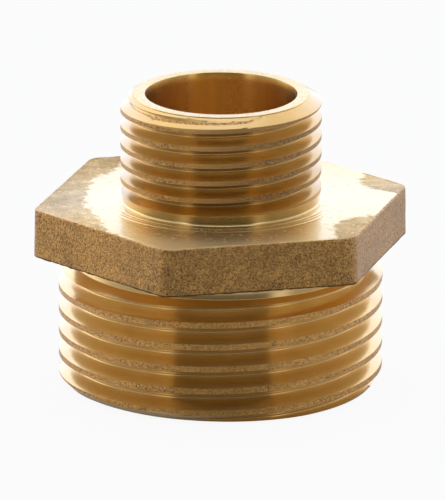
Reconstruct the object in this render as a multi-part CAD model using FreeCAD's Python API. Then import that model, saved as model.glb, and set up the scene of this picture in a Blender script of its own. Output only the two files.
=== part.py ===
import FreeCAD, Part
import math
import os

# A brass reducing pipe nipple, cast as one piece and turned: a large male thread below,
# a hexagon for the wrench, a small male thread above, and a stepped waterway through it.
# Sizes are in millimetres. The origin is the centre of the large end face, +Z is up the axis,
# and two opposite corners of the hexagon lie along X.

# Heights
large_thread_length = 14.15
hex_thickness = 4.9
small_thread_length = 11.0

# Hexagon, cast with a little draft that narrows it towards the small end
hex_across_flats = 34.0
hex_draft_deg = 0.8
hex_corner_radius = 1.6

# Large thread: right-hand, 11 turns to the inch
large_crest_diameter = 32.95
large_pitch = 2.309
large_groove_depth = 1.1
large_crest_flat = 0.65
large_chamfer = 0.95
large_start_deg = 232.6

# Small thread: right-hand, 14 turns to the inch
small_crest_diameter = 20.4
small_pitch = 1.814
small_groove_depth = 0.8
small_crest_flat = 0.55
small_chamfer = 1.2
small_start_deg = 299.5

# Relief grooves, where the threading tool runs out beside the hexagon: this much of each
# is straight, and a slope of 45 degrees leads from there to the crests
large_relief_width = 1.35
large_relief_depth = 1.3
small_relief_width = 0.7
small_relief_depth = 0.8

# Waterway: each bore leaves this wall under the relief groove, and the wide bore of the large
# end steps in to the narrow one this far above the underside of the hexagon
large_wall = 2.175
small_wall = 1.7
bore_step_rise = 1.0

# The cutting solids reach this far beyond the faces that they cut through
cut_overrun = 1.0

hex_bottom = large_thread_length
hex_top = hex_bottom + hex_thickness
total_height = hex_top + small_thread_length

origin = FreeCAD.Vector(0, 0, 0)
x_axis = FreeCAD.Vector(1, 0, 0)
z_axis = FreeCAD.Vector(0, 0, 1)


def revolved(outline):
    """A solid of revolution about Z from a closed outline of (radius, height) points."""
    points = [FreeCAD.Vector(radius, 0, height) for radius, height in outline]
    face = Part.Face(Part.makePolygon(points + points[:1]))
    return face.revolve(origin, z_axis, 360)


def thread_groove(crest, depth, crest_flat, pitch, length, start_deg):
    """The helical V groove of a right-hand thread, cut from beyond the end face at the top.

    It runs down past the barrel's foot, so that it fades into the relief groove there.
    start_deg is where the bottom of the groove leaves the end face.
    """
    root = crest - depth
    half_mouth = (pitch - crest_flat) / 2
    overcut = crest_flat / 4
    reach = crest + overcut * depth / half_mouth
    profile = Part.makePolygon([
        FreeCAD.Vector(root, 0, 0),
        FreeCAD.Vector(reach, 0, -half_mouth - overcut),
        FreeCAD.Vector(reach, 0, half_mouth + overcut),
        FreeCAD.Vector(root, 0, 0),
    ])
    run_out = pitch / 2
    run = run_out + length + pitch
    cone_deg = 0
    path = Part.makeLongHelix(pitch, run, root, cone_deg)
    sweep = Part.BRepOffsetAPI.MakePipeShell(path)
    sweep.setFrenetMode(True)
    sweep.add(profile)
    sweep.build()
    sweep.makeSolid()
    groove = sweep.shape()
    if groove.Volume < 0:
        groove.reverse()
    groove.translate(z_axis * -run_out)
    groove.rotate(origin, z_axis, start_deg - 360 * (length + run_out) / pitch)
    return groove


def threaded_barrel(crest_diameter, length, chamfer, relief_width, relief_depth, groove):
    """A threaded barrel that stands on its relief groove at height 0, chamfered end up."""
    crest = crest_diameter / 2
    relief = crest - relief_depth
    blank = revolved([
        (0, 0),
        (relief, 0),
        (relief, relief_width),
        (crest, relief_width + relief_depth),
        (crest, length - chamfer),
        (crest - chamfer, length),
        (0, length),
    ])
    return blank.cut(groove)


def large_barrel():
    """The large barrel, turned over about X to hang from the hexagon: angles count the other way."""
    groove = thread_groove(
        large_crest_diameter / 2, large_groove_depth, large_crest_flat, large_pitch,
        large_thread_length, -large_start_deg,
    )
    barrel = threaded_barrel(
        large_crest_diameter, large_thread_length, large_chamfer,
        large_relief_width, large_relief_depth, groove,
    )
    barrel.rotate(origin, x_axis, 180)
    barrel.translate(z_axis * hex_bottom)
    return barrel


def small_barrel():
    groove = thread_groove(
        small_crest_diameter / 2, small_groove_depth, small_crest_flat, small_pitch,
        small_thread_length, small_start_deg,
    )
    barrel = threaded_barrel(
        small_crest_diameter, small_thread_length, small_chamfer,
        small_relief_width, small_relief_depth, groove,
    )
    barrel.translate(z_axis * hex_top)
    return barrel


def hexagon():
    """The cast hexagon: three drafted slabs in common, with rounded corners."""
    taper = hex_thickness * math.tan(math.radians(hex_draft_deg))
    half_bottom = hex_across_flats / 2
    half_top = half_bottom - taper
    section = Part.Face(Part.makePolygon([
        FreeCAD.Vector(-hex_across_flats, -half_bottom, hex_bottom),
        FreeCAD.Vector(-hex_across_flats, half_bottom, hex_bottom),
        FreeCAD.Vector(-hex_across_flats, half_top, hex_top),
        FreeCAD.Vector(-hex_across_flats, -half_top, hex_top),
        FreeCAD.Vector(-hex_across_flats, -half_bottom, hex_bottom),
    ]))
    slab = section.extrude(x_axis * 2 * hex_across_flats)
    blank = slab
    for turn_deg in (60, 120):
        turned = slab.copy()
        turned.rotate(origin, z_axis, turn_deg)
        blank = blank.common(turned)
    corners = [edge for edge in blank.Edges if edge.BoundBox.ZLength > hex_thickness / 2]
    return blank.makeFillet(hex_corner_radius, corners)


def waterway():
    """What the bores take away, from below the large end to above the small end."""
    large_bore = large_crest_diameter / 2 - large_relief_depth - large_wall
    small_bore = small_crest_diameter / 2 - small_relief_depth - small_wall
    step = hex_bottom + bore_step_rise
    return revolved([
        (0, -cut_overrun),
        (large_bore, -cut_overrun),
        (large_bore, step),
        (small_bore, step),
        (small_bore, total_height + cut_overrun),
        (0, total_height + cut_overrun),
    ])


os.makedirs("parts", exist_ok=True)
body = hexagon().fuse([small_barrel(), large_barrel()])
nipple = body.cut(waterway()).removeSplitter().Solids[0]
print("valid", nipple.isValid(), "volume in cubic mm", round(nipple.Volume, 1))
nipple.exportStep("parts/nipple_body.step")
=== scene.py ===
import bpy
import math
import numpy as np
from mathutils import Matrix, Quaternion, Vector, noise


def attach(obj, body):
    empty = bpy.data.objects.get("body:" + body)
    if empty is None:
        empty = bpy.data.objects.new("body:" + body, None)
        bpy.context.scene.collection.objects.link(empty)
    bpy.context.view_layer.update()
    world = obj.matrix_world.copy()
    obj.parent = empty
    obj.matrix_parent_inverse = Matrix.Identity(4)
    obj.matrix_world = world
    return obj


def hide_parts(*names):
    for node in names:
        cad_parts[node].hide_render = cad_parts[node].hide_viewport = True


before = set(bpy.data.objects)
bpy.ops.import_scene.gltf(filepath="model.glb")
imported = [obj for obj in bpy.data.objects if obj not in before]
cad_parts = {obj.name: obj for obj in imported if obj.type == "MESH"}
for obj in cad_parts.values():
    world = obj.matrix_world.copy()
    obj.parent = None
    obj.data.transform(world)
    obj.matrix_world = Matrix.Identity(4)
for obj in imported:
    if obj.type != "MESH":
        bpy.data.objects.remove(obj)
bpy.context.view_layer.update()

# A brass reducing pipe nipple: threads, hexagon and waterway as one closed mesh in place of the
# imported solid. The nipple is in millimetres until its mesh is made, the stage and the camera are
# in metres, and azimuths are in degrees.

MM = 0.001

# Azimuth that the photograph was taken from
FRONT = 256.6

# Heights of the main faces
HEX_BOTTOM = 14.15
HEX_TOP = 19.05
TOTAL = 30.05

# Hexagon
APOTHEM = 17.0
DRAFT = math.tan(math.radians(0.8))
CORNER = 1.6

# Pipe thread of 55 degrees: rounded root, straight flanks, crests left flat from the casting.
# The root's radius and depth are shares of the pitch, and phase is the height of a root at FRONT.
HALF_ANGLE = math.radians(27.5)
ROOT_RADIUS = 0.06
ROOT_DEPTH = ROOT_RADIUS * (1 / math.sin(HALF_ANGLE) - 1)
SMALL = {"pitch": 1.814, "root": 9.046, "crest": 10.2, "phase": 28.02}
LARGE = {"pitch": 2.309, "root": 14.995, "crest": 16.475, "phase": 11.699}

# Rows of a thread this near to its end ring are merged with it
MERGE = 0.03

# Large thread's relief groove beside the hexagon, with a slope of 45 degrees up to the crests and
# a small step that the tool left
LARGE_RELIEF = 15.175
LARGE_RELIEF_TOP = HEX_BOTTOM - 1.35
RELIEF_STEP = 0.09

# Collar at the foot of the small thread, turned a little below the crests; the groove fades out
# over it between these heights of its root
COLLAR = 10.12
COLLAR_TOP = 19.95
FADE_FROM = 20.4
FADE_TO = 19.6

# Chamfers of the two ends
LARGE_FACE = 15.525
SMALL_FACE = 8.88
SMALL_CHAMFER_SLOPE = 1.6

# Waterway
LARGE_BORE = 13.0
SMALL_BORE = 7.7
BORE_STEP = HEX_BOTTOM + 1.0

# How far out the hexagon's top is faced, by azimuth from FRONT
FACED_AT = (-180, -150, -132, -116, -90, -65, -49, -39, -28, 36, 44, 52, 60, 70, 80, 92, 103, 115, 128, 150)
FACED_REACH = (16.0, 16.5, 14.2, 13.6, 13.0, 13.6, 15.0, 16.4, 18.8, 18.6, 15.6, 13.9, 14.0, 16.4, 18.8, 18.8,
               14.8, 14.8, 18.8, 17.5)

# Columns of the mesh: close together round the hexagon's corners, even between them
CORNER_SPAN = 2.6
CORNER_COLUMNS = 10
FLAT_COLUMNS = 52

# Studio: a tent of light and a dark card, painted shade in place of the floor's shade in front
# of the nipple, both facing a little past the camera. The tent's wall has these levels by azimuth from its
# front.
STUDIO_FRONT = math.radians(FRONT + 1)
WALL_LIGHT = (
    (-180, 1.15), (-150, 1.35), (-130, 1.6), (-112, 1.45), (-92, 0.58), (-75, 0.44), (-57, 0.42), (-44, 0.98),
    (-38, 0.45), (-34, 0.15), (0, 0.14), (34, 0.15), (38, 0.45), (44, 0.90), (57, 0.44), (75, 0.46),
    (92, 0.58), (112, 0.92), (130, 1.15), (150, 1.25), (180, 1.15))
TOP_LIGHT = 1.3
BEHIND_LIGHT = 0.2
COOL = (0.93, 1.0, 1.2)

# Material slots
TURNED, CREST, CAST, FACED, SHADED_FLASH, BORED, GROOVE, FINE, FOOT = range(9)


def column_angles():
    """Azimuths of the columns, from just before the hexagon's corner at 0."""
    arc = np.linspace(-CORNER_SPAN, CORNER_SPAN, CORNER_COLUMNS + 1)[:-1]
    flat = np.linspace(CORNER_SPAN, 60 - CORNER_SPAN, FLAT_COLUMNS + 1)[:-1]
    return np.concatenate([np.concatenate([arc, flat]) + 60 * k for k in range(6)])


ANGLES = column_angles()
COLUMNS = len(ANGLES)
COS = np.cos(np.radians(ANGLES))
SIN = np.sin(np.radians(ANGLES))


def around(radius, height):
    """One point a column; radius and height are numbers or one value a column."""
    return np.stack([radius * COS, radius * SIN, np.broadcast_to(height, COLUMNS)], axis=1)


def grain(points, scale, seed=0.0, octaves=1):
    """Smooth noise from -1 to 1 at points in mm, with features about 1/scale mm across."""
    out = np.zeros(len(points))
    gain, total = 1.0, 0.0
    for octave in range(octaves):
        k = scale * 2 ** octave
        shift = seed + 17.3 * octave
        out += gain * np.array([noise.noise((x * k + shift, y * k - shift, z * k + 3.1 * shift))
                                for x, y, z in points])
        total += gain
        gain *= 0.5
    return out / total


def spread(az, centre, width):
    """1 at an azimuth from FRONT, falling off on both sides of it."""
    off = (az - centre + 180) % 360 - 180
    return np.exp(-(off / width) ** 2)


def hex_outline(z):
    """Radius of the hexagon's outline at a height, one value a column."""
    apothem = APOTHEM - (z - HEX_BOTTOM) * DRAFT
    off = np.abs((ANGLES + 30) % 60 - 30)
    theta = np.radians(off)
    centre = (apothem - CORNER) / math.cos(math.radians(30))
    tangent = 30 - math.degrees(math.atan(centre * 0.5 / apothem))
    flat = apothem / np.cos(np.radians(30) - theta)
    inside = np.maximum(CORNER ** 2 - (centre * np.sin(theta)) ** 2, 0)
    arc = centre * np.cos(theta) + np.sqrt(inside)
    return np.where(off < tangent, arc, flat)


def rawness(radius):
    """0 where the hexagon's top is faced, up to 1 where the casting lay too low for the tool."""
    reach = np.interp(ANGLES - FRONT, FACED_AT, FACED_REACH, period=360)
    short = radius - reach - 0.8 * grain(around(radius, 0), 0.6, 4.0, 3)
    return np.clip(short / 1.1, 0, 1)


def thread_radius(thread, s):
    """Radius of the thread's surface at a distance s along the axis from the middle of a root."""
    pitch = thread["pitch"]
    s = np.abs((s + pitch / 2) % pitch - pitch / 2)
    rho = ROOT_RADIUS * pitch
    bottom = thread["root"] + rho - np.sqrt(np.maximum(rho ** 2 - s ** 2, 0))
    flank = thread["root"] - ROOT_DEPTH * pitch + s / math.tan(HALF_ANGLE)
    out = np.where(s < rho * math.cos(HALF_ANGLE), bottom, flank)
    return np.minimum(out, thread["crest"])


def crest_edge(thread):
    """Distance along the axis from the middle of a root to the edge of the flat crest."""
    rise = thread["crest"] - thread["root"] + ROOT_DEPTH * thread["pitch"]
    return rise * math.tan(HALF_ANGLE)


def thread_rows(thread, root_rows, flank_rows, crest_rows):
    """Distances from the root of the rows of one pitch."""
    pitch = thread["pitch"]
    rho = ROOT_RADIUS * pitch * math.cos(HALF_ANGLE)
    edge = crest_edge(thread)
    up = list(np.linspace(0, rho, root_rows + 1)[1:])
    up += list(np.linspace(rho, edge, flank_rows + 2)[1:])
    across = list(np.linspace(edge, pitch - edge, crest_rows + 2)[1:-1])
    return [0.0] + up + across + [pitch - s for s in reversed(up)]


class Mesh:
    """Vertices and faces of the piece. skin says how raw the surface is at each vertex, and lips
    lists the vertices of the burr, two a column with its edge second."""

    def __init__(self):
        self.points = []
        self.skin = []
        self.faces = []
        self.slots = []
        self.lips = []

    def ring(self, radius, height, skin=0.0):
        """One vertex a column; each argument is a number or one value a column."""
        first = len(self.points)
        self.points += around(radius, height).tolist()
        self.skin += np.broadcast_to(skin, COLUMNS).tolist()
        return list(range(first, first + COLUMNS))

    def face(self, corners, slot):
        corners = [c for k, c in enumerate(corners) if c != corners[k - 1]]
        if len(set(corners)) > 2:
            self.faces.append(corners)
            self.slots.append(slot)

    def strip(self, below, above, slot):
        """Faces between two rings, the second further on round the section."""
        for j in range(COLUMNS):
            k = (j + 1) % COLUMNS
            self.face((below[j], below[k], above[k], above[j]), slot)

    def grow(self, last, slot, radius, height, skin=0.0):
        """A new ring and the faces between the last one and it."""
        ring = self.ring(radius, height, skin)
        self.strip(last, ring, slot)
        return ring


def cut_off(z, r, cone, z_low, z_high):
    """Radii of a column of the thread, cut off at the cone, and which of its rows were moved onto
    the edge of that cut."""
    limit = cone(z)
    gap = r - limit
    radius = np.minimum(r, limit)
    sharp = np.zeros(len(z), bool)
    for i in np.nonzero((gap[:-1] > 0) != (gap[1:] > 0))[0]:
        if z_low + MERGE < z[i] < z_high - MERGE:
            t = gap[i] / (gap[i] - gap[i + 1])
            near = i if t < 0.5 else i + 1
            z[near] = z[i] + t * (z[i + 1] - z[i])
            radius[near] = cone(z[near])
            sharp[near] = True
    return radius, sharp


def threaded(mesh, thread, z_low, z_high, low, high, cone, rows, groove_slot, roll=None):
    """A threaded length between the rings low and high. cone(z) gives the radius of its chamfer
    or run-out, which the thread is cut off at. roll(s, z, r, deg) changes heights and radii of a
    column's rows in place, and returns which row is the edge of a burr."""
    pitch = thread["pitch"]
    base = thread["phase"] - pitch * FRONT / 360
    first = math.floor((z_low - base) / pitch) - 1
    last = math.ceil((z_high - base) / pitch) + 1
    offsets = np.array([m * pitch + s for m in range(first, last + 1) for s in rows])
    from_edge = np.abs((offsets + pitch / 2) % pitch - pitch / 2) - crest_edge(thread)
    ids = np.zeros((len(offsets), COLUMNS), int)
    sharp = np.zeros((len(offsets), COLUMNS), bool)
    for j, deg in enumerate(ANGLES):
        z = base + pitch * deg / 360 + offsets
        r = thread_radius(thread, offsets)
        burr = roll(offsets, z, r, deg) if roll else None
        radius, sharp[:, j] = cut_off(z, r, cone, z_low, z_high)
        on_crest = (from_edge > -0.001) & (radius > thread["crest"] - 0.01)
        skin = np.where(on_crest, np.where(from_edge > 0.02, 1.0, 0.5), 0.0)
        for i in range(len(offsets)):
            if z[i] <= z_low + MERGE:
                ids[i, j] = low[j]
            elif z[i] >= z_high - MERGE:
                ids[i, j] = high[j]
            else:
                ids[i, j] = len(mesh.points)
                mesh.points.append((radius[i] * COS[j], radius[i] * SIN[j], z[i]))
                mesh.skin.append(skin[i])
                if burr is not None and burr - 1 <= i <= burr:
                    mesh.lips.append(ids[i, j])
    thread_faces(mesh, ids, sharp, len(rows), groove_slot)


def thread_faces(mesh, ids, sharp, per_turn, groove_slot):
    """Faces between the columns. The thread climbs one pitch a turn, so the last column meets the
    first one per_turn rows further on. Faces are split along the sharp edge of a cut."""
    rolled = set(mesh.lips)
    for j in range(COLUMNS):
        k = (j + 1) % COLUMNS
        turn = 0 if k else per_turn
        for i in range(len(ids) - 1 - turn):
            corners = ((i, j), (i + turn, k), (i + 1 + turn, k), (i + 1, j))
            quad = [int(ids[corner]) for corner in corners]
            distinct = len(set(quad))
            if distinct < 3:
                continue
            crest = all(mesh.skin[v] >= 0.5 for v in quad)
            lip = all(v in rolled for v in quad)
            slot = CREST if crest else CAST if lip else groove_slot
            edge = [sharp[corner] for corner in corners]
            if distinct == 4 and edge[0] and edge[2]:
                mesh.face((quad[0], quad[1], quad[2]), slot)
                mesh.face((quad[0], quad[2], quad[3]), slot)
            elif distinct == 4 and edge[1] and edge[3]:
                mesh.face((quad[1], quad[2], quad[3]), slot)
                mesh.face((quad[1], quad[3], quad[0]), slot)
            else:
                mesh.face(quad, slot)


def large_cone(z):
    """Cuts off the large thread at its chamfer and at its run-out beside the hexagon."""
    run_out = LARGE_RELIEF + RELIEF_STEP + np.maximum(LARGE_RELIEF_TOP - z, 0)
    return np.minimum(LARGE_FACE + z, run_out)


def large_barrel(mesh):
    """Large end face, thread and relief groove. Returns its first and its last ring."""
    root = LARGE["phase"] + LARGE["pitch"] * (ANGLES - FRONT) / 360
    end = np.minimum(thread_radius(LARGE, -root), large_cone(0.0))
    first = mesh.ring(14.0, 0.0)
    low = mesh.grow(first, TURNED, end, 0.0)
    last = mesh.ring(LARGE_RELIEF + RELIEF_STEP, LARGE_RELIEF_TOP)
    threaded(mesh, LARGE, 0.0, LARGE_RELIEF_TOP, low, last, large_cone, thread_rows(LARGE, 2, 2, 4), GROOVE)
    for out, drop in ((0.07, 1.33), (0.07, 1.24), (0, 1.13), (0, 0.45), (0, 0.16), (0.03, 0.06), (0.1, 0.015),
                      (0.22, 0)):
        last = mesh.grow(last, GROOVE, LARGE_RELIEF + out, HEX_BOTTOM - drop)
    return first, last


def hexagon(mesh, last):
    """Underside, flash, sides and top of the hexagon, in to the foot of the neck."""
    bottom = hex_outline(HEX_BOTTOM)
    inner = LARGE_RELIEF + 0.22
    for t in (0.3, 0.6, 0.85):
        last = mesh.grow(last, CAST, inner + t * (bottom - 0.25 - inner), HEX_BOTTOM)

    # Flash along the lower edge: a thin ragged fin, coloured near black as painted shade along the edge
    ragged = np.clip(0.3 + 1.3 * grain(around(bottom, HEX_BOTTOM), 1.3, 8.0, 3), 0, 1)
    last = mesh.grow(last, CAST, bottom - 0.2, HEX_BOTTOM, 1.0)
    last = mesh.grow(last, SHADED_FLASH, bottom - 0.09, HEX_BOTTOM - 0.1 * ragged, 1.0)
    last = mesh.grow(last, SHADED_FLASH, bottom - 0.03, HEX_BOTTOM + 0.03 - 0.08 * ragged, 1.0)

    # Sides with their dents, the lowest row in the flash's painted shade, and the worn edge round the top
    for k, z in enumerate(np.linspace(HEX_BOTTOM + 0.14, HEX_TOP - 0.3, 16)):
        r = hex_outline(z)
        points = around(r, z)
        dent = 0.03 * (grain(points, 0.3, 1.0, 2) - 0.5) + 0.022 * (grain(points, 2.4, 2.0, 2) - 0.5)
        last = mesh.grow(last, CAST if k else SHADED_FLASH, r + np.minimum(dent, 0), z, 1.0)
    top = hex_outline(HEX_TOP)
    for drop, inset in ((0.16, 0.015), (0.07, 0.06), (0.015, 0.14)):
        z = HEX_TOP - drop
        wear = 0.04 * np.clip(grain(around(top - inset, z), 1.2, 5.0, 3) + 0.2, 0, 1)
        last = mesh.grow(last, CAST, top - inset - wear, z - wear, 1.0)

    # Top, faced flat round the neck and raw towards the corners, with the tool's last rings
    inner = 12.6
    for t in np.linspace(1, 0, 15):
        r = inner + t * (top - 0.25 - inner)
        raw = rawness(r)
        sunk = 0.05 * raw + raw * 0.03 * (grain(around(r, HEX_TOP), 1.6, 6.0, 3) + 0.7)
        last = mesh.grow(last, FACED, r, HEX_TOP - sunk, raw)
    for r, drop in ((12.3, 0), (12.24, 0.03), (12.18, 0), (11.72, 0), (11.66, 0.02), (11.6, 0), (11.2, 0),
                    (11.14, 0.03), (11.08, 0), (10.34, 0)):
        last = mesh.grow(last, FACED, r, HEX_TOP - drop)
    return last


def small_cone(z):
    """Cuts off the small thread at its chamfer and at the collar."""
    chamfer = SMALL_FACE + (TOTAL - z) * SMALL_CHAMFER_SLOPE
    collar = COLLAR + np.maximum(z - COLLAR_TOP, 0)
    return np.minimum(chamfer, collar)


def rolled_lip(s, z, r, deg):
    """Fades the groove out over the collar, and rolls a rounded lip down over the topmost groove,
    as the chamfering tool did on the left and in front."""
    pitch = SMALL["pitch"]
    root = z - (s + pitch / 2) % pitch + pitch / 2
    r += np.clip((FADE_FROM - root) / (FADE_FROM - FADE_TO), 0, 1) * (SMALL["crest"] - r)

    # The lip's edge lies at this height from the topmost root and overhangs the groove by drop;
    # keep fades it out at both ends
    az = deg - FRONT
    along = np.clip((az + 78) / 90, 0, 1)
    keep = np.clip((az + 112) / 16, 0, 1) * np.clip((26 - az) / 10, 0, 1)
    lip = -0.14 - 0.06 * along
    drop = np.interp(az, (-75, -55, -42, -24, 5), (0.07, 0.1, 0.26, 0.26, 0.2))
    undercut = 0.03
    near = s - pitch
    below, edge = np.searchsorted(near, (-0.099, -0.05))
    z[below] += keep * (lip - drop - near[below])
    z[edge] += keep * (lip - near[edge])
    r[below] += keep * (thread_radius(SMALL, lip - drop) - undercut - r[below])

    # Rounded shoulder between the end face and the lip's edge
    filled = (near > near[below]) & (near < 0.9)
    above = np.clip(1 - (TOTAL - z[filled]) / (TOTAL - z[edge]), 0, 1)
    shoulder = 8.93 + (0.32 + 0.17 * along) * (1 - above ** 1.7)
    r[filled] += keep * np.maximum(shoulder - r[filled], 0)
    return edge if keep > 0.5 else None


def small_barrel(mesh, last):
    """Collar, small thread, end face and its rim."""
    for out, rise in ((0.13, 0), (0.05, 0.03), (0, 0.12)):
        last = mesh.grow(last, FACED, COLLAR + out, HEX_TOP + rise)
    thread_low = COLLAR_TOP - 0.1
    for z in (HEX_TOP + 0.2, thread_low):
        last = mesh.grow(last, FOOT, COLLAR, z)
    thread_high = TOTAL - 0.09
    high = mesh.ring(small_cone(thread_high), thread_high)
    threaded(mesh, SMALL, thread_low, thread_high, last, high, small_cone, thread_rows(SMALL, 2, 1, 4), FINE,
             rolled_lip)
    # A fine step runs round the end face
    last = high
    for r in (8.97, 8.885):
        last = mesh.grow(last, BORED, r, TOTAL - 0.1)
    for r, drop in ((8.875, 0.02), (8.85, 0), (8.3, 0), (7.8, 0), (7.73, 0.025), (SMALL_BORE, 0.08)):
        last = mesh.grow(last, TURNED, r, TOTAL - drop)
    return last


def waterway(mesh, last):
    """Small bore, step and large bore, out to the large end face."""
    profile = [(SMALL_BORE, z) for z in np.linspace(TOTAL - 0.9, BORE_STEP + 0.15, 8)]
    profile += [(SMALL_BORE + 0.04, BORE_STEP + 0.04), (SMALL_BORE + 0.15, BORE_STEP), (9.5, BORE_STEP),
                (11.5, BORE_STEP), (12.8, BORE_STEP), (12.95, BORE_STEP - 0.03),
                (LARGE_BORE, BORE_STEP - 0.15)]
    profile += [(LARGE_BORE, z) for z in np.linspace(BORE_STEP - 1, 0.35, 8)]
    for r, z in profile:
        last = mesh.grow(last, BORED, r, z)
    for r, z in ((13.04, 0.12), (13.15, 0.03), (13.3, 0.0)):
        last = mesh.grow(last, TURNED, r, z)
    return last


def build():
    """The whole nipple: up the outside from the large end face and down through the bores."""
    mesh = Mesh()
    first, last = large_barrel(mesh)
    last = hexagon(mesh, last)
    last = small_barrel(mesh, last)
    last = waterway(mesh, last)
    mesh.strip(last, first, TURNED)
    return mesh


def large_crest_skin(az, z, wide):
    """How much of the large crests the cast skin covers, and the painted shade on them, deepest towards the
    camera and 40 degrees round from it; wide is noise.
    """
    cover = 0.65 + 0.4 * spread(az, -42, 24) + 0.3 * spread(az, 42, 26) + 0.2 * spread(az, 180, 90)
    cover += 0.4 * wide
    # Painted shade: the crests are darkened towards the camera and 40 degrees round from it
    dark = 0.05 + 0.15 * spread(az, 0, 20) + 0.1 * spread(az, 40, 20)
    return cover, dark


def small_crest_skin(az, z, wide):
    """The same for the small crests, which are bare next to the collar and barer by the chamfer; their
    painted shade is deepest about 38 degrees round from the camera.
    """
    cover = 0.1 + 0.9 * spread(az, -42, 24) + 1.0 * spread(az, 38, 28) + 0.6 * spread(az, 180, 80)
    cover += 0.4 * wide
    cover *= np.clip((z - 21.0) / 0.4, 0, 1) * np.clip((29.0 - z) / 0.3, 0.25, 1)
    # Painted shade: the small crests are darkened most about 38 degrees round from the camera
    dark = 0.35 + 0.95 * spread(az, 38, 48) + 0.25 * spread(az, 0, 15)
    return cover, dark


def finished(mesh):
    """The points with pits in the cast skin and burrs along the start of the thread, and for each
    point how raw its surface is and how much painted shade and stains darken its skin."""
    points = np.array(mesh.points)
    raw = np.array(mesh.skin)
    painted_shade_and_stains = np.zeros(len(points))
    az = np.degrees(np.arctan2(points[:, 1], points[:, 0])) - FRONT
    r = np.hypot(points[:, 0], points[:, 1])
    z = points[:, 2]

    # Crests, each pitted where its cast skin is left
    large = (raw > 0) & (z < HEX_BOTTOM - 0.4)
    small = (raw > 0) & (z > HEX_TOP + 0.4)
    for crest, crest_skin in ((large, large_crest_skin), (small, small_crest_skin)):
        wide = grain(points[crest], 0.22, 9.0, 2)
        cover, dark = crest_skin(az[crest], z[crest], wide)
        cover = np.clip(cover, 0, 1)
        pits = grain(points[crest], 3.2, 3.0, 2) + 0.3 * wide - 0.02
        depth = 0.17 * np.clip(pits, 0, 1) * cover + 0.004
        depth *= np.where(raw[crest] > 0.75, 1.0, 0.55)
        points[crest, :2] *= (1 - depth / r[crest])[:, None]
        raw[crest] = cover
        # Painted shade on the crests, by azimuth
        painted_shade_and_stains[crest] = dark

    # Ragged burr of the rolled lip
    raw[mesh.lips] = 1.0
    edge = np.array(mesh.lips[1::2], int)
    ragged = np.clip(0.4 + 1.4 * grain(points[edge], 1.9, 5.0, 3), -0.3, 1.3)
    burr = ragged * (0.03 + 0.1 * spread(az[edge], -36, 12))
    points[edge, :2] *= (1 + burr / r[edge])[:, None]
    points[edge, 2] -= 0.5 * burr

    # Stains on the sides of the hexagon, and painted shade that darkens the side facing the camera
    sides = (raw > 0) & (z > HEX_BOTTOM - 0.3) & (z < HEX_TOP + 0.01) & (r > 16.5)
    stains = 0.6 * grain(points[sides], 0.16, 21.0, 2) + 0.6 * grain(points[sides], 0.9, 5.0, 2)
    painted_shade_and_stains[sides] = np.clip(0.3 + 0.35 * spread(az[sides], 0, 26) + stains, 0, 1.2)
    return points, raw, painted_shade_and_stains


def make_object(mesh, materials):
    points, raw, painted_shade_and_stains = finished(mesh)
    data = bpy.data.meshes.new("nipple")
    data.from_pydata([tuple(p) for p in points * MM], [], mesh.faces)
    for name, values in (("raw", raw), ("painted_shade_and_stains", painted_shade_and_stains)):
        data.attributes.new(name, "FLOAT", "POINT").data.foreach_set("value", values)
    for material in materials:
        data.materials.append(material)
    data.polygons.foreach_set("material_index", mesh.slots)
    data.polygons.foreach_set("use_smooth", [True] * len(mesh.faces))
    data.validate()
    data.update()
    data.set_sharp_from_angle(angle=math.radians(36))
    obj = bpy.data.objects.new("nipple", data)
    bpy.context.scene.collection.objects.link(obj)
    return obj


def node(tree, kind, inputs=None, **settings):
    """A shader node; each input is a value or the socket that feeds it."""
    made = tree.nodes.new("ShaderNode" + kind)
    for key, value in settings.items():
        setattr(made, key, value)
    for key, value in (inputs or {}).items():
        socket = made.inputs[key]
        if isinstance(value, bpy.types.NodeSocket):
            tree.links.new(value, socket)
        else:
            socket.default_value = value
    return made


def math_node(tree, operation, *values):
    return node(tree, "Math", dict(enumerate(values)), operation=operation).outputs[0]


def plus(tree, a, b):
    return math_node(tree, "ADD", a, b)


def times(tree, a, b):
    return math_node(tree, "MULTIPLY", a, b)


def scaled(tree, vector, factor):
    return node(tree, "VectorMath", {0: vector, "Scale": factor}, operation="SCALE").outputs["Vector"]


def combined(tree, x, y, z):
    return node(tree, "CombineXYZ", {0: x, 1: y, 2: z}).outputs[0]


def mapped(tree, value, low, high, to_low=0.0, to_high=1.0):
    return node(tree, "MapRange", {"Value": value, "From Min": low, "From Max": high, "To Min": to_low,
                                   "To Max": to_high}, clamp=True).outputs["Result"]


def mixed(tree, factor, a, b):
    """Colour a at factor 0 and colour b at factor 1; sockets 6 and 7 are the node's colours."""
    return node(tree, "Mix", {0: factor, 6: a, 7: b}, data_type="RGBA").outputs[2]


def noise_node(tree, vector, scale, detail=2.0, roughness=0.5):
    return node(tree, "TexNoise", {"Vector": vector, "Scale": scale, "Detail": detail, "Roughness": roughness}
                ).outputs["Fac"]


def attribute(tree, name):
    return node(tree, "Attribute", attribute_name=name).outputs["Fac"]


def bumped(tree, height, strength, distance):
    """Normal of a surface with this height, whose full range is distance metres."""
    return node(tree, "Bump", {"Height": height, "Strength": strength, "Distance": distance}).outputs[0]


def lathe_tangent(tree):
    """Direction of the turning lines, round the axis."""
    return node(tree, "Tangent", direction_type="RADIAL", axis="Z").outputs[0]


def rgba(r, g, b):
    return (r, g, b, 1.0)


def place(tree):
    """Object position in mm, radius from the axis, height."""
    mm = scaled(tree, node(tree, "TexCoord").outputs["Object"], 1 / MM)
    x, y, z = node(tree, "SeparateXYZ", {0: mm}).outputs
    radius = math_node(tree, "SQRT", plus(tree, times(tree, x, x), times(tree, y, y)))
    return mm, radius, z


def new_material(name):
    material = bpy.data.materials.new(name)
    material.use_nodes = True
    tree = material.node_tree
    tree.nodes.clear()
    return material, tree


def set_surface(tree, shader, output="OutputMaterial"):
    node(tree, output, {"Surface": shader.outputs[0]})


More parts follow.
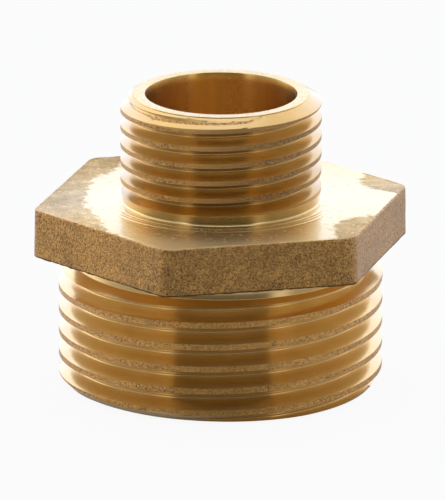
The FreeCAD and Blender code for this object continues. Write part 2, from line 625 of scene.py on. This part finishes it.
def turned_brass(name, light, dark, rough, stretch, strength, chatter=0.0, coat=0.0, painted_shade_low=0.0):
    """Brass as the tool leaves it: fine lines round the axis, so it scatters across them. Rough is
    the lowest roughness, stretch how much more it is across the lines, and strength how deep they
    look. Chatter leaves marks along the axis, this many to the mm. Coat is the weight of a thin
    clear coat, which makes the edges pale, and the last argument how much painted shade darkens
    the small thread's brass towards the hexagon."""
    material, tree = new_material(name)
    mm, radius, z = place(tree)
    lines = noise_node(tree, combined(tree, radius, z, 0.0), 9.0, 3.0, 0.6)
    if chatter:
        flat = node(tree, "VectorMath", {0: mm, 1: (chatter, chatter, 0.02)}, operation="MULTIPLY")
        cloud = noise_node(tree, flat.outputs["Vector"], 1.0, 3.0, 0.6)
        roughest = rough * 1.1
    else:
        cloud = noise_node(tree, mm, 0.35, 3.0)
        roughest = rough * 1.4
    colour = mixed(tree, mapped(tree, cloud, 0.35, 0.65), rgba(*light), rgba(*dark))
    # Painted shade: the colour darkens downwards from 28.5 to 20.5 mm
    if painted_shade_low:
        colour = scaled(tree, colour, mapped(tree, z, 28.5, 20.5, 1.0, 1.0 - painted_shade_low))
    gloss = plus(tree, mapped(tree, lines, 0.3, 0.7, rough, roughest),
                 mapped(tree, cloud, 0.3, 0.7, 0.0, rough * 0.3))
    shader = node(tree, "BsdfPrincipled", {
        "Base Color": colour, "Metallic": 1.0, "Roughness": gloss,
        "Normal": bumped(tree, lines, strength, 0.00002),
        "Anisotropic": stretch, "Anisotropic Rotation": 0.25, "Tangent": lathe_tangent(tree),
        "Coat Weight": coat, "Coat Roughness": 0.15, "Coat IOR": 1.3})
    set_surface(tree, shader)
    return material


def cast_brass(name, light, dark, speck, smooth, coat=1.3):
    """The sand skin of the casting: light and dark grains with specks of dirt in its pits, worn
    to the smooth colour where raw is low, and darkened by the painted shade and stains that the mesh carries.
    Coat is the refractive index of its clear coat."""
    material, tree = new_material(name)
    mm, _, _ = place(tree)
    raw = attribute(tree, "raw")
    sand = noise_node(tree, mm, 4.4, 3.0, 0.7)
    pits = noise_node(tree, mm, 6.5, 2.0, 0.6)
    grit = mixed(tree, mapped(tree, sand, 0.38, 0.62), rgba(*dark), rgba(*light))
    grit = mixed(tree, mapped(tree, pits, 0.38, 0.46, 0.9, 0.0), grit, rgba(*speck))
    colour = mixed(tree, raw, rgba(*smooth), grit)
    # Painted shade and stains from the mesh darken the colour
    colour = scaled(tree, colour, mapped(tree, attribute(tree, "painted_shade_and_stains"), 0.0, 1.2, 1.0, 0.5))
    worn = math_node(tree, "SUBTRACT", 1.0, raw)
    rough = plus(tree, times(tree, mapped(tree, sand, 0.35, 0.65, 0.6, 0.38), raw), times(tree, worn, 0.45))
    height = times(tree, plus(tree, sand, times(tree, pits, 0.7)), raw)
    shader = node(tree, "BsdfPrincipled", {
        "Base Color": colour, "Metallic": 0.9, "Roughness": rough,
        "Normal": bumped(tree, height, 1.0, 0.00009),
        "Coat Weight": 1.0, "Coat Roughness": 0.35, "Coat IOR": coat})
    set_surface(tree, shader)
    return material


def faced_brass(name):
    """The hexagon's top: turned where it was faced, raw where the casting lay lower. The turned
    part gets rougher outwards, and only it has the clear coat."""
    material, tree = new_material(name)
    mm, radius, _ = place(tree)
    cloud = noise_node(tree, mm, 1.6, 4.0, 0.7)
    ragged = plus(tree, attribute(tree, "raw"), mapped(tree, cloud, 0.3, 0.7, -0.85, 0.3))
    cover = mapped(tree, ragged, 0.0, 0.5)
    lines = noise_node(tree, combined(tree, radius, 0.0, 0.0), 5.0, 3.0, 0.6)
    sand = noise_node(tree, mm, 4.0, 3.0, 0.65)
    blotch = noise_node(tree, mm, 0.7, 3.0, 0.6)
    turned = mixed(tree, mapped(tree, cloud, 0.3, 0.7), rgba(0.92, 0.73, 0.39), rgba(0.88, 0.67, 0.32))
    skin = mixed(tree, mapped(tree, plus(tree, sand, blotch), 0.7, 1.3),
                 rgba(0.50, 0.34, 0.15), rgba(0.88, 0.67, 0.37))
    finish = plus(tree, mapped(tree, radius, 10.5, 16.5, 0.12, 0.27),
                  mapped(tree, lines, 0.3, 0.7, 0.0, 0.06))
    rough = plus(tree, finish, times(tree, cover, 0.25))
    height = plus(tree, times(tree, lines, 0.6), times(tree, times(tree, sand, cover), 1.5))
    shader = node(tree, "BsdfPrincipled", {
        "Base Color": mixed(tree, cover, turned, skin), "Metallic": 1.0, "Roughness": rough,
        "Normal": bumped(tree, height, 0.6, 0.00005),
        "Anisotropic": 0.96, "Anisotropic Rotation": 0.25, "Tangent": lathe_tangent(tree),
        "Coat Weight": math_node(tree, "SUBTRACT", 1.0, cover), "Coat Roughness": 0.12, "Coat IOR": 1.3})
    set_surface(tree, shader)
    return material


def add_stage(name, points, material):
    """A flat face of the studio."""
    data = bpy.data.meshes.new(name)
    data.from_pydata(points, [], [range(len(points))])
    data.materials.append(material)
    made = bpy.data.objects.new(name, data)
    bpy.context.scene.collection.objects.link(made)
    return made


def add_floor():
    """A round sheet of pale paper. To the camera it is nearly white and still shows the shadow."""
    material, tree = new_material("floor_paper")
    path = node(tree, "LightPath")
    seen = plus(tree, times(tree, path.outputs["Is Camera Ray"], 0.93),
                times(tree, path.outputs["Is Glossy Ray"], 0.12))
    diffuse = node(tree, "BsdfDiffuse", {"Color": rgba(0.62, 0.62, 0.62)})
    white = node(tree, "Emission", {"Color": rgba(1, 1, 1), "Strength": 1.0})
    set_surface(tree, node(tree, "MixShader", {0: seen, 1: diffuse.outputs[0], 2: white.outputs[0]}))
    count, reach = 64, 0.25
    turns = [math.tau * k / count for k in range(count)]
    add_stage("floor", [(reach * math.cos(turn), reach * math.sin(turn), 0) for turn in turns], material)


def add_shade_card():
    """Painted shade: a dark card in front of the nipple, just above the floor, which only the metal sees, in
    place of the floor's shade there.
    """
    material, tree = new_material("painted_shade_card")
    set_surface(tree, node(tree, "BsdfDiffuse", {"Color": rgba(0.3, 0.3, 0.3)}))
    outline = ((0.0172, -0.0078), (0.056, -0.0346), (0.056, 0.0346), (0.0172, 0.0078))
    height = 0.0002
    cos, sin = math.cos(STUDIO_FRONT), math.sin(STUDIO_FRONT)
    card = add_stage("card", [(x * cos - y * sin, x * sin + y * cos, height) for x, y in outline], material)
    card.visible_camera = False
    card.visible_diffuse = False
    card.visible_shadow = False
    card.visible_transmission = False


def wall_light(tree, from_front):
    """Light of the tent's wall at an angle in radians from its front."""
    ramp = node(tree, "ValToRGB", {0: mapped(tree, from_front, -math.pi, math.pi)})
    stops = ramp.color_ramp.elements
    stops[0].position, stops[1].position = 0.0, 1.0
    for degrees, _ in WALL_LIGHT[1:-1]:
        stops.new(degrees / 360 + 0.5)
    for stop, (_, level) in zip(stops, WALL_LIGHT):
        stop.color = rgba(level, level, level)
    return ramp.outputs[0]


def add_world():
    """A white tent, dark towards the camera and brightest behind the nipple and on its left. Low
    behind and at the top it is a little brighter and cooler than its wall. The camera sees plain
    white."""
    world = bpy.data.worlds.new("studio")
    bpy.context.scene.world = world
    world.use_nodes = True
    tree = world.node_tree
    tree.nodes.clear()
    direction = node(tree, "TexCoord").outputs["Generated"]
    turned = node(tree, "VectorRotate", {"Vector": direction, "Angle": -STUDIO_FRONT}, rotation_type="Z_AXIS")
    x, y, z = node(tree, "SeparateXYZ", {0: turned.outputs[0]}).outputs
    from_front = math_node(tree, "ARCTAN2", y, x)
    turned_away = mapped(tree, math_node(tree, "ABSOLUTE", from_front), math.radians(120), math.radians(150))
    behind = times(tree, turned_away, mapped(tree, z, 0.75, 0.5))
    top = mapped(tree, z, 0.86, 0.93)
    level = plus(tree, wall_light(tree, from_front), times(tree, behind, BEHIND_LIGHT))
    level = node(tree, "Mix", {0: top, 2: level, 3: TOP_LIGHT}, data_type="FLOAT").outputs[0]
    tint = mixed(tree, math_node(tree, "MAXIMUM", behind, top), rgba(1, 1, 1), rgba(*COOL))
    lit = node(tree, "Background", {"Color": tint, "Strength": level})
    plain = node(tree, "Background", {"Color": rgba(1, 1, 1), "Strength": 1.0})
    path = node(tree, "LightPath")
    mix = node(tree, "MixShader", {0: path.outputs["Is Camera Ray"], 1: lit.outputs[0], 2: plain.outputs[0]})
    set_surface(tree, mix, "OutputWorld")


def add_camera():
    """The photograph's camera, from a fit of its distance, height and focal length. The point
    look_at on the nipple's axis appears offset_px right of and above the middle of the picture."""
    distance, elevation, azimuth = 0.999, math.radians(16.79), math.radians(FRONT)
    focal_px, long_side_px, roll = 9833.0, 500, math.radians(0.157)
    offset_px = (-1.81, 20.64)
    look_at = Vector((0, 0, 0.01565))
    back = Vector((math.cos(azimuth) * math.cos(elevation), math.sin(azimuth) * math.cos(elevation),
                   math.sin(elevation)))
    right = Vector((0, 0, 1)).cross(back).normalized()
    up = back.cross(right)
    scale = distance / focal_px
    target = look_at - right * (offset_px[0] * scale) - up * (offset_px[1] * scale)
    data = bpy.data.cameras.new("camera")
    data.sensor_width = 36.0
    data.lens = focal_px / long_side_px * data.sensor_width
    data.clip_start, data.clip_end = 0.05, 20.0
    camera = bpy.data.objects.new("camera", data)
    bpy.context.scene.collection.objects.link(camera)
    camera.location = look_at + back * distance
    camera.rotation_mode = "QUATERNION"
    aim = (target - camera.location).to_track_quat("-Z", "Y")
    camera.rotation_quaternion = aim @ Quaternion((0, 0, 1), roll)
    bpy.context.scene.camera = camera


# One material a slot, in the order of the slots
materials = [
    turned_brass("turned_brass", (0.87, 0.67, 0.37), (0.74, 0.55, 0.27), 0.2, 0.7, 0.3, chatter=3.0),
    cast_brass("crest_skin", (1.0, 0.57, 0.14), (0.62, 0.29, 0.06), (0.14, 0.055, 0.015), (1.0, 0.54, 0.13),
               coat=1.45),
    cast_brass("cast_brass", (0.93, 0.535, 0.15), (0.56, 0.26, 0.06), (0.14, 0.07, 0.02), (0.80, 0.45, 0.11)),
    faced_brass("faced_brass"),
    # Near-black painted shade along the hexagon's lower edge, on the flash
    cast_brass("flash", (0.36, 0.20, 0.07), (0.18, 0.095, 0.03), (0.06, 0.03, 0.01), (0.28, 0.16, 0.05),
               coat=1.1),
    turned_brass("bored_brass", (1.0, 0.66, 0.20), (0.84, 0.50, 0.14), 0.21, 0.93, 0.01, chatter=0.45),
    turned_brass("thread_brass", (0.81, 0.55, 0.225), (0.77, 0.51, 0.20), 0.15, 0.7, 0.1, coat=1.0),
    # Painted shade: the small thread is a darker copy of the large thread's brass, darker still towards the
    # hexagon
    turned_brass("fine_thread_brass_painted_shade", (0.71, 0.465, 0.18), (0.67, 0.43, 0.155), 0.15, 0.75, 0.1, coat=1.0,
                 painted_shade_low=0.18),
    # Painted shade: the foot of the neck is a darker copy of the thread brass
    turned_brass("foot_brass_painted_shade", (0.56, 0.37, 0.14), (0.52, 0.34, 0.12), 0.15, 0.75, 0.1, coat=1.0),
]
nipple = make_object(build(), materials)
triangles = sum(len(p.vertices) - 2 for p in nipple.data.polygons)
print("vertices", len(nipple.data.vertices), "triangles", triangles)
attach(nipple, "root")
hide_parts("nipple_body")

add_floor()
add_shade_card()
add_world()
add_camera()
bpy.context.scene.view_settings.view_transform = "Standard"
